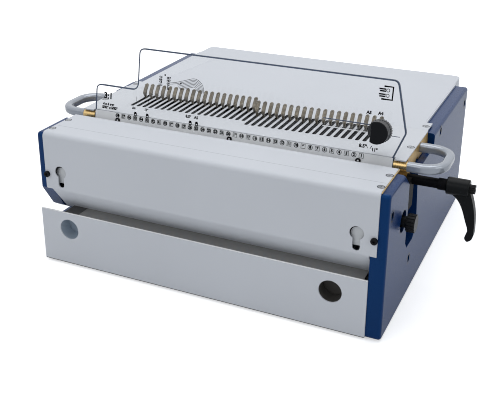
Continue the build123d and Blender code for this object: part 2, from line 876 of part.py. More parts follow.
def selector_fingers(numbers):
    with BuildPart() as one:
        block((-1.1, 1.1), (0, 3.6), (156.0, 168.0))
        back_line = [(y + finger_thick, z) for y, z in finger_line]
        with BuildSketch(Plane.YZ.offset(-2.2)):
            with BuildLine():
                Spline(*finger_line)
                Spline(*back_line)
                Line(finger_line[0], back_line[0])
                Line(finger_line[-1], back_line[-1])
            make_face()
        extrude(amount=4.4)
        with BuildSketch(Plane.XZ.offset(-20)) as front_view:
            with Locations((0, 165.0)):
                Rectangle(2.2, 26.0)
            with BuildLine():
                shoulders = [(2.2, 179.0), (2.2, 187.8), (-2.2, 187.8), (-2.2, 179.0)]
                Polyline((-1.1, 174.0), (1.1, 174.0), *shoulders, close=True)
            make_face()
            with Locations((0, 187.8)):
                Circle(2.2)
        extrude(amount=40, mode=Mode.INTERSECT)
    shape = one.part.solid()
    with BuildPart() as fingers:
        for number in numbers:
            place = Location((pin_x(number), slot_start(number) + finger_set_back, 0))
            add(shape.moved(place))
    return fingers


def clamp_plate():
    with BuildPart() as plate:
        block((sheet_half + 0.1, frame_half - 1.5), (82.6, 104.5), (114.5, 151.0))
        rod_x((sheet_half - 1, frame_half), lever_y, lever_z, 5.6, Mode.SUBTRACT)
    return plate


def clamp_stud():
    with BuildPart() as stud:
        rod_x((block_half, sheet_half + 0.5), lever_y, lever_z, 4.0)
        rod_x((sheet_half + 0.3, lever_x - 9), lever_y, lever_z, 5.5)
        rod_x((lever_x - 9, lever_x - 0.4), lever_y, lever_z, 6.5)
        with BuildSketch(Plane.YZ.offset(lever_x - 2.5)):
            with Locations((lever_y, lever_z)):
                RegularPolygon(4.6, 6)
        extrude(amount=12.0)
        rod_x((lever_x + 1, lever_x + 13), lever_y, lever_z, 2.0, Mode.SUBTRACT)
    return stud


# Arm of the lever: distance out from its inner face, and height
lever_arm = [
    (0.5, 146.0),
    (24.0, 148.0),
    (27.0, 140.0),
    (31.0, 126.0),
    (33.0, 113.0),
    (33.5, 101.0),
    (32.0, 90.5),
    (27.5, 87.0),
    (24.5, 91.5),
    (26.5, 98.0),
    (24.4, 108.0),
    (19.6, 122.0),
    (13.0, 134.0),
    (7.5, 138.7),
    (1.0, 139.6),
]


def clamp_lever():
    with BuildPart() as lever:
        outline = [(lever_x + out, height) for out, height in lever_arm]
        rod_x((lever_x, lever_x + 24), lever_y, lever_z, 9.5)
        fillet(lever.edges(), radius=1.5)
        with BuildSketch(Plane.XZ.offset(-lever_y)):
            with BuildLine():
                Spline(*outline[1:8])
                Spline(*outline[7:14])
                Polyline(outline[13], outline[14], outline[0], outline[1])
            make_face()
        extrude(amount=5.0, both=True)
        with BuildSketch(Plane.YZ.offset(lever_x - 1.5)):
            with Locations((lever_y, lever_z)):
                RegularPolygon(4.75, 6)
        extrude(amount=12.5, mode=Mode.SUBTRACT)
        rod_x((lever_x + 10, lever_x + 26), lever_y, lever_z, 3.0, Mode.SUBTRACT)
        rod_x((lever_x + 15.5, lever_x + 27), lever_y, lever_z, 5.3, Mode.SUBTRACT)
    return lever


def lever_screw():
    with BuildPart() as screw:
        rod_x((lever_x + 20.5, lever_x + 30), lever_y, lever_z, 5.0)
        rod_x((lever_x + 2, lever_x + 21), lever_y, lever_z, 1.95)
        with Locations((lever_x + 30, lever_y, lever_z)):
            Box(3.0, 12.0, 1.6, mode=Mode.SUBTRACT)
        with BuildSketch(Plane.YZ.offset(lever_x + 24.6)):
            with Locations((lever_y, lever_z)):
                with PolarLocations(5.2, 12):
                    Circle(0.7)
        extrude(amount=6.0, mode=Mode.SUBTRACT)
    return screw


def margin_knob():
    with BuildPart() as knob:
        rod_x(knob_span, knob_y, knob_z, knob_radius)
        chamfer(knob.edges(), length=0.8)
        with BuildSketch(Plane.YZ.offset(knob_span[0] - 1)):
            with Locations((knob_y, knob_z)):
                with PolarLocations(knob_radius + 0.35, knob_ribs):
                    Circle(1.35)
        extrude(amount=14.0, mode=Mode.SUBTRACT)
        rod_x((knob_span[0] - 1, knob_span[1] - 2.5), knob_y, knob_z, 4.0, Mode.SUBTRACT)
    return knob


def margin_shaft():
    with BuildPart() as shaft:
        rod_x((-inside + 7, knob_span[1] - 2.7), knob_y, knob_z, 4.0)
        for x in (-inside + 47, inside - 47):
            rod_x((x - 5, x + 5), knob_y + 2, knob_z, 7.5)
    return shaft


def margin_shaft_blocks():
    with BuildPart() as blocks:
        for x in (-inside + 17, inside - 17):
            height = (knob_z - 11.5, cover_top - cover_sheet - 0.1)
            block((x - 4, x + 4), (knob_y - 8.5, knob_y + 5.7), height)
            rod_x((x - 5, x + 5), knob_y, knob_z, 4.0 + running_fit, Mode.SUBTRACT)
    return blocks


keep(side_frame(-1), "left_side_frame")
keep(side_frame(1), "right_side_frame")
keep(base_plate(), "base_plate")
keep(rubber_feet(), "rubber_feet")
keep(front_cover(), "front_cover")
keep(countersunk_screws(cover_screw_places, cover_top, 6.0), "front_cover_screws")
keep(front_socket_screws(), "front_socket_screws")
keep(keyhole_plates(), "keyhole_plates")
keep(rear_cover(), "rear_cover")
rear_screw_places = [(-top_screw_x, 204.0), (top_screw_x, 204.0)]
keep(countersunk_screws(rear_screw_places, rear_cover_top, 6.0), "rear_cover_screws")
keep(rear_panel(), "rear_panel")
keep(mains_inlet(), "mains_inlet")
keep(switch_bezel(), "switch_bezel")
keep(rocker_switch(), "rocker_switch")
keep(fuse_holder(), "fuse_holder")
keep(foot_switch_socket(), "foot_switch_socket")
keep(drawer_front(), "drawer_front")
keep(drawer_tray(), "drawer_tray")
keep(drawer_runners(), "drawer_runners")
keep(trough_bracket(), "trough_bracket")
keep(chip_chute(), "chip_chute")
keep(die_rails(), "die_rails")
keep(shaft_bearings(), "shaft_bearings")
keep(drive_shaft(), "drive_shaft")
keep(eccentrics(), "eccentrics")
keep(press_bar(), "press_bar")
keep(press_guides(), "press_guides")
keep(gearbox(), "gearbox")
keep(motor(), "motor")
keep(motor_bracket(), "motor_bracket")
keep(control_board(), "control_board")
keep(die_top_plate(), "die_top_plate")
end_screw_places = [(-end_screw_x, 129.0), (end_screw_x, 129.0)]
keep(countersunk_screws(end_screw_places, sheet_top, 8.0), "die_top_screws")
keep(end_blocks(), "end_blocks")
keep(end_spacers(), "end_spacers")
keep(guide_block(), "guide_block")
keep(matrix_plate(), "matrix_plate")
keep(die_base(), "die_base")
keep(handles(), "handles")
keep(clear_plate(), "clear_plate")
keep(stop_rail(), "stop_rail")
keep(plate_screws(), "plate_screws")
keep(side_stop_dial(), "side_stop_dial")
keep(dial_spindle(), "dial_spindle")
keep(punch_pins(), "punch_pins")
keep(selector_fingers(range(1, 25)), "fingers_1_to_24")
keep(selector_fingers([25]), "finger_25")
keep(selector_fingers([26]), "finger_26")
keep(selector_fingers(range(27, 33)), "fingers_27_to_32")
keep(selector_fingers([33]), "finger_33")
keep(selector_fingers([34]), "finger_34")
keep(selector_fingers([35]), "finger_35")
keep(selector_fingers([36, 37, 38]), "fingers_36_to_38")
keep(clamp_plate(), "clamp_plate")
keep(clamp_stud(), "clamp_stud")
keep(clamp_lever(), "clamp_lever")
keep(lever_screw(), "lever_screw")
keep(margin_knob(), "margin_knob")
keep(margin_shaft(), "margin_shaft")
keep(margin_shaft_blocks(), "margin_shaft_blocks")
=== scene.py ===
import json
import math

import bmesh
import bpy
from mathutils import Matrix, Vector


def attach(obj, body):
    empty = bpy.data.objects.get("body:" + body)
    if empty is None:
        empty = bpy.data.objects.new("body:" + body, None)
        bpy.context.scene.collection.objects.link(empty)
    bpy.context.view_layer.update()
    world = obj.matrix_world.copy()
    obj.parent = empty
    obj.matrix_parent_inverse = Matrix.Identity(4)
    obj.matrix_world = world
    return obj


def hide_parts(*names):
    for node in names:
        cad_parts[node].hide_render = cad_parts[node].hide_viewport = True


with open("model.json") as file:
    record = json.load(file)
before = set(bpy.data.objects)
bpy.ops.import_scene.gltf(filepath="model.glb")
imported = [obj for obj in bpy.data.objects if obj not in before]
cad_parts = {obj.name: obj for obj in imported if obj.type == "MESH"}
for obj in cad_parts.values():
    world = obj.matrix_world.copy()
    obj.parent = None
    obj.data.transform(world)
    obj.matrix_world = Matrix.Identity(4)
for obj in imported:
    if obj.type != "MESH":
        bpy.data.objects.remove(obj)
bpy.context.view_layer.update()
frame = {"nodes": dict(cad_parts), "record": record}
nodes = frame["nodes"]
print("frame loaded:", len(nodes), "nodes")

# the machine's own drawing frame, in millimetres, sits here inside the shared frame
standAt = Vector((-0.017, -0.2118, 0.002))


def mm(x, y, z):
    return Vector((x / 1000, y / 1000, z / 1000)) + standAt


# materials


def newMaterial(name):
    material = bpy.data.materials.new(name)
    material.use_nodes = True
    return material, material.node_tree.nodes, material.node_tree.links


def addNode(tree, kind, **inputs):
    node = tree.new(kind)
    for key, value in inputs.items():
        node.inputs[key.replace("_", " ")].default_value = value
    return node


def ramp(tree, stops):
    node = tree.new("ShaderNodeValToRGB")
    node.color_ramp.elements[0].position = stops[0][0]
    node.color_ramp.elements[0].color = (*stops[0][1], 1)
    node.color_ramp.elements[1].position = stops[-1][0]
    node.color_ramp.elements[1].color = (*stops[-1][1], 1)
    for place, colour in stops[1:-1]:
        element = node.color_ramp.elements.new(place)
        element.color = (*colour, 1)
    return node


def shade(colour, factor):
    return tuple(min(1.0, c * factor) for c in colour)


def surfaceNoise(tree, links, scale, detail=3.0, stretch=None):
    place = tree.new("ShaderNodeTexCoord")
    noise = addNode(tree, "ShaderNodeTexNoise", Scale=scale, Detail=detail)
    if stretch:
        mapping = tree.new("ShaderNodeMapping")
        mapping.inputs["Scale"].default_value = stretch
        links.new(place.outputs["Object"], mapping.inputs["Vector"])
        links.new(mapping.outputs["Vector"], noise.inputs["Vector"])
    else:
        links.new(place.outputs["Object"], noise.inputs["Vector"])
    return noise


# what a finish has where its own look says nothing; edge and bumpDepth in metres
plainFinish = {
    "metal": 0.0, "spec": 0.5, "tint": (1, 1, 1), "drift": 0.04, "driftScale": 9.0,
    "roughSpread": 0.06, "grainScale": 900.0, "brushed": None, "bump": 0.12, "bumpDepth": 0.0002,
    "edge": 0.0006, "wear": 0,
}


def finish(name, look):
    # colour drift, fine surface grain in the bump, worn and softened edges
    look = {**plainFinish, **look}
    material, tree, links = newMaterial(name)
    shader = tree["Principled BSDF"]
    shader.inputs["Metallic"].default_value = look["metal"]
    shader.inputs["Specular IOR Level"].default_value = look["spec"]
    shader.inputs["Specular Tint"].default_value = (*look["tint"], 1)
    drift = surfaceNoise(tree, links, look["driftScale"])
    pale, deep = (shade(look["colour"], 1 + side * look["drift"]) for side in (1, -1))
    tint = ramp(tree, [(0.3, deep), (0.7, pale)])
    links.new(drift.outputs["Fac"], tint.inputs["Fac"])
    base = tint.outputs["Color"]
    edge = tree.new("ShaderNodeBevel")
    edge.samples = 6
    edge.inputs["Radius"].default_value = look["edge"]
    if look["wear"] > 0:
        # bare or polished arrises where the softened normal leaves the flat one
        flat = tree.new("ShaderNodeNewGeometry")
        apart = tree.new("ShaderNodeVectorMath")
        apart.operation = "DOT_PRODUCT"
        links.new(edge.outputs["Normal"], apart.inputs[0])
        links.new(flat.outputs["Normal"], apart.inputs[1])
        worn = ramp(tree, [(0.86, (1, 1, 1)), (0.99, (0, 0, 0))])
        links.new(apart.outputs["Value"], worn.inputs["Fac"])
        amount = tree.new("ShaderNodeMath")
        amount.operation = "MULTIPLY"
        amount.inputs[1].default_value = look["wear"]
        links.new(worn.outputs["Color"], amount.inputs[0])
        blend = tree.new("ShaderNodeMix")
        blend.data_type = "RGBA"
        blend.inputs["B"].default_value = (*look["wearColour"], 1)
        links.new(amount.outputs["Value"], blend.inputs["Factor"])
        links.new(base, blend.inputs["A"])
        base = blend.outputs["Result"]
    links.new(base, shader.inputs["Base Color"])
    grain = surfaceNoise(tree, links, look["grainScale"], 4.0, look["brushed"])
    rough, spread = look["rough"], look["roughSpread"]
    polish = ramp(tree, [(0.3, (max(0.02, rough - spread),) * 3), (0.7, (rough + spread,) * 3)])
    links.new(grain.outputs["Fac"], polish.inputs["Fac"])
    links.new(polish.outputs["Color"], shader.inputs["Roughness"])
    bump = tree.new("ShaderNodeBump")
    bump.inputs["Strength"].default_value = look["bump"]
    bump.inputs["Distance"].default_value = look["bumpDepth"]
    links.new(grain.outputs["Fac"], bump.inputs["Height"])
    links.new(edge.outputs["Normal"], bump.inputs["Normal"])
    links.new(bump.outputs["Normal"], shader.inputs["Normal"])
    return material


def clearAcrylic(name, look):
    material, tree, links = newMaterial(name)
    shader = tree["Principled BSDF"]
    shader.inputs["Base Color"].default_value = (*look["colour"], 1)
    shader.inputs["Transmission Weight"].default_value = 1.0
    # all but this share lets lamp light through to what lies behind
    shader.inputs["Alpha"].default_value = look["body"]
    shader.inputs["IOR"].default_value = 1.49
    haze = surfaceNoise(tree, links, 40.0)
    polish = ramp(tree, [(0.3, (0.0,) * 3), (0.8, (0.03,) * 3)])
    links.new(haze.outputs["Fac"], polish.inputs["Fac"])
    links.new(polish.outputs["Color"], shader.inputs["Roughness"])
    return material


blueCoat = {
    "colour": (0.0035, 0.023, 0.098), "tint": (0.10, 0.42, 1.0), "rough": 0.30, "spec": 0.42,
    "bump": 0.10, "grainScale": 1500, "edge": 0.0008, "drift": 0.05,
}
greyCoat = {
    "colour": (0.60, 0.625, 0.67), "rough": 0.5, "spec": 0.35,
    "bump": 0.12, "grainScale": 1700, "edge": 0.0006, "drift": 0.015,
}
sheetCoat = {
    "colour": (0.60, 0.625, 0.665), "rough": 0.42, "spec": 0.4,
    "bump": 0.08, "grainScale": 1600, "edge": 0.0003, "drift": 0.015,
}
blackMoulding = {
    "colour": (0.004, 0.005, 0.007), "rough": 0.38, "spec": 0.11,
    "bump": 0.12, "grainScale": 1400, "edge": 0.0005,
}
leverMoulding = {
    "colour": (0.003, 0.004, 0.005), "rough": 0.32, "spec": 0.11,
    "bump": 0.14, "grainScale": 1300, "edge": 0.001,
}
knobMoulding = {"colour": (0.006, 0.0065, 0.0075), "rough": 0.28, "spec": 0.14, "bump": 0.12, "edge": 0.0004}
greyHandle = {
    "colour": (0.33, 0.36, 0.41), "metal": 0.3, "rough": 0.17, "spec": 0.7,
    "bump": 0.06, "grainScale": 1300, "edge": 0.0005, "drift": 0.03,
}
brassBlock = {
    "colour": (0.52, 0.35, 0.13), "metal": 0.7, "rough": 0.42,
    "brushed": (60, 1, 60), "grainScale": 50, "drift": 0.12, "driftScale": 60,
}
brassBar = {"colour": (0.66, 0.47, 0.21), "metal": 0.75, "rough": 0.28, "drift": 0.08, "driftScale": 60}
fingerBronze = {
    "colour": (0.150, 0.130, 0.098), "metal": 0.4, "rough": 0.34, "bump": 0.2, "edge": 0.0003,
    "drift": 0.35, "driftScale": 115, "wear": 0.4, "wearColour": (0.34, 0.305, 0.24),
}
barSteel = {
    "colour": (0.20, 0.20, 0.21), "metal": 1.0, "rough": 0.3,
    "brushed": (1, 60, 60), "grainScale": 60,
}
toolSteel = {
    "colour": (0.15, 0.15, 0.155), "metal": 1.0, "rough": 0.35,
    "brushed": (1, 50, 50), "grainScale": 60,
}
blackSteel = {"colour": (0.004, 0.004, 0.005), "rough": 0.45, "spec": 0.03, "bump": 0.1, "edge": 0.0004}
zincSheet = {"colour": (0.56, 0.58, 0.60), "metal": 0.15, "rough": 0.5, "drift": 0.08, "driftScale": 40}
finishes = {
    "blue_frame": blueCoat,
    "grey_cover": greyCoat,
    "light_sheet": sheetCoat,
    "bright_screw": {"colour": (0.40, 0.42, 0.45), "metal": 0.9, "rough": 0.36, "bump": 0.1, "edge": 0.0002},
    "black_screw": {"colour": (0.005, 0.005, 0.006), "rough": 0.32, "spec": 0.12, "edge": 0.0003},
    "black_steel": blackSteel,
    "black_plastic": blackMoulding,
    "switch_plastic": {"colour": (0.012, 0.012, 0.012), "rough": 0.2},
    "lever_black": leverMoulding,
    "knob_black": knobMoulding,
    "white_plastic": {"colour": (0.75, 0.75, 0.72), "rough": 0.45},
    "dark_bracket": {"colour": (0.03, 0.03, 0.033), "rough": 0.5},
    "foot_rubber": {"colour": (0.02, 0.02, 0.02), "rough": 0.8, "bump": 0.3},
    "zinc_sheet": zincSheet,
    "steel_bar": barSteel,
    "tool_steel": toolSteel,
    "pin_steel": {"colour": (0.4, 0.4, 0.4), "metal": 1.0, "rough": 0.3},
    "cast_block": {"colour": (0.1, 0.1, 0.11), "rough": 0.6, "bump": 0.4, "grainScale": 700},
    "motor_paint": {"colour": (0.05, 0.055, 0.06), "rough": 0.45},
    "board_green": {"colour": (0.03, 0.16, 0.07), "rough": 0.4},
    "brass_block": brassBlock,
    "brass_bar": brassBar,
    "finger_bronze": fingerBronze,
    "handle_grey": greyHandle,
    "clear_acrylic": {"colour": (0.97, 0.985, 0.99), "body": 0.03},
}
materials = {}
for slot, look in finishes.items():
    materials[slot] = clearAcrylic(slot, look) if slot == "clear_acrylic" else finish(slot, look)
for part in frame["record"]["subparts"]:
    node = nodes[part["node"]]
    for place in node.material_slots:
        place.material = materials[part["material_slot"]]
    if not node.material_slots:
        node.data.materials.append(materials[part["material_slot"]])
print("finishes laid on the packed nodes")

# the front face of the clear plate, which leans back from the point (y, z) in mm
plateFace = (88.4, 170)
plateLean = math.radians(10)
plateTurn = (math.radians(80), 0, 0)
letterSize = 1.38  # font size over the height of its capitals

# black for the plate's print, also used as painted shade in the finger slots
inkAndSlotShade = newMaterial("plateInkAndSlotShade")[0]
inkAndSlotShadeShader = inkAndSlotShade.node_tree.nodes["Principled BSDF"]
inkAndSlotShadeShader.inputs["Base Color"].default_value = (0.006, 0.0065, 0.008, 1)
inkAndSlotShadeShader.inputs["Roughness"].default_value = 0.6
inkAndSlotShadeShader.inputs["Specular IOR Level"].default_value = 0.0


def newPiece(name, shape, material, body):
    # one new object from a finished shape, riding on its body
    mesh = bpy.data.meshes.new(name)
    shape.to_mesh(mesh)
    shape.free()
    mesh.materials.append(material)
    piece = bpy.data.objects.new(name, mesh)
    bpy.context.collection.objects.link(piece)
    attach(piece, body)
    return piece


def closedRow(shape, steps, spot):
    # one closed row of corners; spot gives the place at each turn
    return [shape.verts.new(spot(math.tau * n / steps)) for n in range(steps)]


def wall(shape, first, second):
    # faces between two closed rows of the same length
    for n in range(len(first)):
        follow = (n + 1) % len(first)
        shape.faces.new((first[n], first[follow], second[follow], second[n]))


def onPlate(x, z, lift=0.12):
    # a point in front of the plate's face; lift in mm, below zero behind it
    y = plateFace[0] + math.tan(plateLean) * (z - plateFace[1]) - lift * math.cos(plateLean)
    return mm(x, y, z + lift * math.sin(plateLean))


class PlateInk:
    # gathers the strokes and letters of one print, or the strokes of one painted mark, in one thin mesh
    def __init__(self, lift=0.12):
        self.mesh = bmesh.new()
        self.lift = lift

    def stroke(self, points, width, closed=False):
        # points are (x, z) in mm on the plate; a flat ribbon of that width
        count = len(points)
        left, right = [], []
        for i, (x, z) in enumerate(points):
            before = points[i - 1] if (i > 0 or closed) else points[i]
            after = points[(i + 1) % count] if (i < count - 1 or closed) else points[i]
            dx, dz = after[0] - before[0], after[1] - before[1]
            size = math.hypot(dx, dz) or 1.0
            nx, nz = -dz / size * width / 2, dx / size * width / 2
            left.append(self.mesh.verts.new(onPlate(x + nx, z + nz, self.lift)))
            right.append(self.mesh.verts.new(onPlate(x - nx, z - nz, self.lift)))
        for i in range(count if closed else count - 1):
            j = (i + 1) % count
            self.mesh.faces.new((left[i], right[i], right[j], left[j]))

    def ring(self, x, z, radius, width, start=0, stop=360, steps=24):
        whole = stop - start >= 360
        turns = [math.radians(start + (stop - start) * i / steps) for i in range(steps + (not whole))]
        self.stroke([(x + radius * math.cos(a), z + radius * math.sin(a)) for a in turns], width, whole)

    def words(self, text, x, z, height, bold=0.0):
        data = bpy.data.curves.new("word", "FONT")
        data.body = text
        data.size = height / 1000 * letterSize
        data.align_x = "CENTER"
        data.align_y = "CENTER"
        data.offset = bold / 1000
        data.resolution_u = 3
        word = bpy.data.objects.new("word", data)
        word.rotation_euler = plateTurn
        word.location = onPlate(x, z)
        bpy.context.collection.objects.link(word)
        bpy.context.view_layer.update()
        flat = bpy.data.meshes.new_from_object(word)
        flat.transform(word.matrix_world)
        self.mesh.from_mesh(flat)
        bpy.data.objects.remove(word)
        bpy.data.meshes.remove(flat)

    def finish(self, name, material=inkAndSlotShade, slot="black_screw"):
        return newPiece(name, self.mesh, material, "die")


# pale paint for painted light: the band behind the numbers, the screw heads at the plate's foot and the
# rail's highlights
palePaintedLight = finish("palePaintedLight", {"colour": (0.95, 0.97, 1.0), "rough": 0.5, "spec": 0.3, "bump": 0.03})
numberLightBand = {"x": (-189.2, 191.6), "z": (160.4, 172.3)}


def palePrint(look):
    # the numbers stand on a pale band, painted light over the shade seen through the plate
    band = PlateInk(0.05)
    low, high = look["z"]
    band.stroke([(look["x"][0], (low + high) / 2), (look["x"][1], (low + high) / 2)], high - low)
    return band.finish("numberLightBand", palePaintedLight, "light_sheet")


palePrint(numberLightBand)

pinRow = {
    "count": 38,
    "pitch": 25.4 / 3,
    "first": 156.63,
    "numberZ": 169.0,
    "letter": (3.2, 0.3),  # height, boldness
    "box": 4.9,
    "line": 0.6,
    "marked": (25, 26, 33, 35),
    "hole": (173.6, 1.5, 1.2),  # z, radius, line
    "cap": ((1.7, 1.95, 1.9), (3.0, 1.3, 1.2)),  # rise over the hole, half width, line
}


def pinX(number):
    return pinRow["first"] - (number - 1) * pinRow["pitch"]


def pinNumbers(row):
    prints = PlateInk()
    half = row["box"] / 2
    z = row["numberZ"]
    holeZ, holeRadius, holeLine = row["hole"]
    for number in range(1, row["count"] + 1):
        x = pinX(number)
        if number % 2:
            square = [(x - half, z - half), (x + half, z - half), (x + half, z + half), (x - half, z + half)]
            prints.stroke(square, row["line"], True)
        else:
            prints.ring(x, z, half * 1.05, row["line"])
        prints.words(str(number), x, z, *row["letter"])
        if number in row["marked"]:
            # punched-hole mark: a ring with a solid cap
            prints.ring(x, holeZ, holeRadius, holeLine)
            for rise, reach, line in row["cap"]:
                prints.stroke([(x - reach, holeZ + rise), (x + reach, holeZ + rise)], line)
    return prints.finish("pinNumberPrint")


pinNumbers(pinRow)

plateMarks = {
    # text, x, z, height, boldness
    "pitch": [
        ("3:1", -171.2, 191.4, 7.7, 0.45),
        ("4 x 4 mm", -170.2, 181.2, 3.1, 0.35),
        ('5/32" x 5/32"', -168.4, 177.0, 3.0, 0.35),
    ],
    "sizes": [
        ("A4", -133.8, 181.4, 2.8, 0.3),
        ('11"', -116, 181.4, 2.8, 0.3),
        ('8.5"', -58.0, 181.6, 3.3, 0.3),
        ("A5", -47.6, 181.6, 3.3, 0.3),
    ],
    "dial": [
        ("A5", 160, 216.9, 3.4, 0.3),
        ("A4", 172.9, 217.6, 3.4, 0.3),
        ('8.5"', 157, 180.0, 3.8, 0.3),
        ('11"', 170.4, 177.6, 3.6, 0.3),
    ],
    # x, z and x, z of the ends, line
    "lines": [
        (-130.5, 190, -130.5, 196, 0.35),
        (-113.5, 190, -113.5, 195, 0.35),
        (162.6, 178.4, 161.0, 181.6, 0.7),
        (165.4, 178.4, 167.0, 181.6, 0.7),
    ],
}
pageMark = {
    "left": 171.5,
    "short": 2,  # by which the upper edge ends before the lower one
    "right": 183.4,
    "top": 246.9,
    "bottom": 233.2,
    "line": 1.9,
    "holes": (242.8, 237.2),
    "hole": (178.0, 1.7, 0.7),  # x, radius, line
    "teeth": ((168.3, 1.1), (169.0, -1.1)),  # x of the tip, rise over the hole
    "root": 175.8,
    "tooth": 1.6,
}


def plateLegend(look, page):
    prints = PlateInk()
    for text, x, z, height, bold in look["pitch"] + look["sizes"] + look["dial"]:
        prints.words(text, x, z, height, bold)
    for x0, z0, x1, z1, line in look["lines"]:
        prints.stroke([(x0, z0), (x1, z1)], line)
    # page corner with two holes and comb teeth, at the right of the plate
    top = [(page["left"] + page["short"], page["top"]), (page["right"], page["top"])]
    bottom = [(page["right"], page["bottom"]), (page["left"], page["bottom"])]
    prints.stroke(top + bottom, page["line"])
    x, radius, line = page["hole"]
    for z in page["holes"]:
        prints.ring(x, z, radius, line, steps=16)
        for tip, rise in page["teeth"]:
            prints.stroke([(tip, z + rise), (page["root"], z + rise)], page["tooth"])
    return prints.finish("plateLegendPrint")


plateLegend(plateMarks, pageMark)

loopGauge = {
    "centre": (-53, 213.8),
    "first": 3.4,
    "step": 1.6,
    "loops": 7,
    "line": 0.5,
    "slope": 0.32,
    "foot": -15,  # degrees where each arc starts
    "run": (17, 0.6),  # straight end of the first loop, and what each next one adds
    "bend": (13, 2.4),  # extra end of the outer two
    "columns": [
        (-98.2, 223.6, ("6.4", "8.0", "9.5", "11.1")),
        (-87.5, 223.4, ("12.7", "14.3", "16", "19", "22")),
    ],
    "letter": (2.3, 0.3),  # height, boldness
    "drop": 3.1,
    "dots": [(-92.5, 226.6), (-70.7, 219.4)],
    "dot": (0.55, 1.1),  # radius, line
}


def loopSizes(look):
    # nested wire-loop outlines: arcs whose upper ends run out to the left as straight lines
    prints = PlateInk()
    cx, cz = look["centre"]
    for i in range(look["loops"]):
        radius = look["first"] + i * look["step"]
        tilt = 90 + math.degrees(math.atan(look["slope"]))
        turns = [math.radians(look["foot"] + (tilt - look["foot"]) * n / 24) for n in range(25)]
        arc = [(cx + radius * math.cos(a), cz + radius * math.sin(a)) for a in turns]
        run = look["run"][0] + look["run"][1] * i
        x, z = arc[-1]
        arc.append((x - run, z - run * look["slope"]))
        if i >= look["loops"] - 2:
            arc.append((x - run - look["bend"][0], z - run * look["slope"] - look["bend"][1]))
        prints.stroke(arc, look["line"])
    for x, z, sizes in look["columns"]:
        for row, text in enumerate(sizes):
            prints.words(text, x, z - row * look["drop"], *look["letter"])
    for x, z in look["dots"]:
        prints.ring(x, z, *look["dot"], steps=10)
    return prints.finish("loopSizePrint")


loopSizes(loopGauge)
print("plate printed")

# rim of the clear plate, painted shade along its cut edges

rimShadeMaterial = finish("acrylicRimShade", {"colour": (0.075, 0.10, 0.155), "rough": 0.35, "spec": 0.2, "bump": 0.05})
plateRim = {
    "corners": [
        (-189.5, 160), (-189.5, 205), (-130, 205), (-130, 255),
        (188.5, 255), (203, 200), (192, 172), (192, 160),
    ],
    "round": 8.0,
    "thick": 3.0,
    "face": 1.7,
    "proud": 0.12,
}


def roundedPath(corners, radius, steps=7):
    # an open path through the corners, the inner ones rounded off
    path = [corners[0]]
    for before, corner, after in zip(corners, corners[1:], corners[2:]):
        away = [Vector(end) - Vector(corner) for end in (before, after)]
        half = away[0].angle(away[1]) / 2
        cut = min(radius / math.tan(half), 0.45 * min(away[0].length, away[1].length))
        start, stop = (Vector(corner) + side.normalized() * cut for side in away)
        for n in range(steps + 1):
            t = n / steps
            point = start * (1 - t) ** 2 + Vector(corner) * 2 * t * (1 - t) + stop * t ** 2
            path.append((point.x, point.y))
    path.append(corners[-1])
    return path


def clearRim(name, look):
    path = roundedPath(look["corners"], look["round"])
    rim = bmesh.new()
    rows = []
    proud = look["proud"]
    lifts = (proud - look["thick"], -proud, -proud)
    for i, (x, z) in enumerate(path):
        before, after = path[max(i - 1, 0)], path[min(i + 1, len(path) - 1)]
        along = (Vector(after) - Vector(before)).normalized()
        inward = Vector((along.y, -along.x))
        at = [Vector((x, z)) + inward * shift for shift in (proud, proud, look["face"])]
        rows.append([rim.verts.new(onPlate(spot.x, spot.y, lift)) for spot, lift in zip(at, lifts)])
    for low, high in zip(rows, rows[1:]):
        for j in range(2):
            rim.faces.new((low[j], low[j + 1], high[j + 1], high[j]))
    return newPiece(name, rim, rimShadeMaterial, "die")


clearRim("plateRim", plateRim)

# painted shade in the finger slots, black rims, walls and floors; their fronts step back from slot to slot in
# two halves

slotRow = {
    "step": 0.4,
    "left": 121.7,  # front end of the last slot of the left half, and of the right half
    "right": 117.9,
    "rightCount": 19,
    "length": 51,
    "width": 3.5,
    "lip": 0.6,
    "top": 172.0,
    "proud": 0.04,
    "deep": 1.5,
}


def slotLips(look):
    # each has a thin rim on top of the sheet, a wall and a floor, all painted shade
    lips = bmesh.new()
    radius = look["width"] / 2
    crest, throat = look["top"] + look["proud"], radius - look["proud"]
    steps = ((radius + look["lip"], crest), (throat, crest), (throat, look["top"] - look["deep"]))
    for number in range(1, pinRow["count"] + 1):
        x = pinX(number)
        if number > look["rightCount"]:
            start = look["left"] + (pinRow["count"] - number) * look["step"]
        else:
            start = look["right"] + (look["rightCount"] - number) * look["step"]
        ends = ((start + radius, 180, 360), (start + look["length"] - radius, 0, 180))
        rings = []
        for reach, height in steps:
            ring = []
            for y, first, last in ends:
                for n in range(7):
                    turn = math.radians(first + (last - first) * n / 6)
                    spot = mm(x + reach * math.cos(turn), y + reach * math.sin(turn), height)
                    ring.append(lips.verts.new(spot))
            rings.append(ring)
        for outer, inner in zip(rings, rings[1:]):
            wall(lips, outer, inner)
        lips.faces.new(rings[-1])
    return newPiece("slotLips", lips, inkAndSlotShade, "die")


slotLips(slotRow)
print("rim and slots lined")

# hem and edge line of the covers, and the strip on the left frame
# each bar is x low, x high, y low, y high, z low, z high in mm
coverTrims = {
    "rearCoverHem": {
        "slot": "grey_cover",
        "bars": [(196.4, 197.9, 217, 390, 168.6, 171.4), (-197.9, -196.4, 217, 390, 168.6, 171.4)],
    },
    "leftFrameTop": {"slot": "blue_frame", "bars": [(-213.9, -205.5, 175, 218, 166.5, 168.5)]},
    "frontCoverEdge": {"slot": "brass_bar", "bars": [(204.1, 205.1, 2, 67, 168.6, 170.2)]},
}


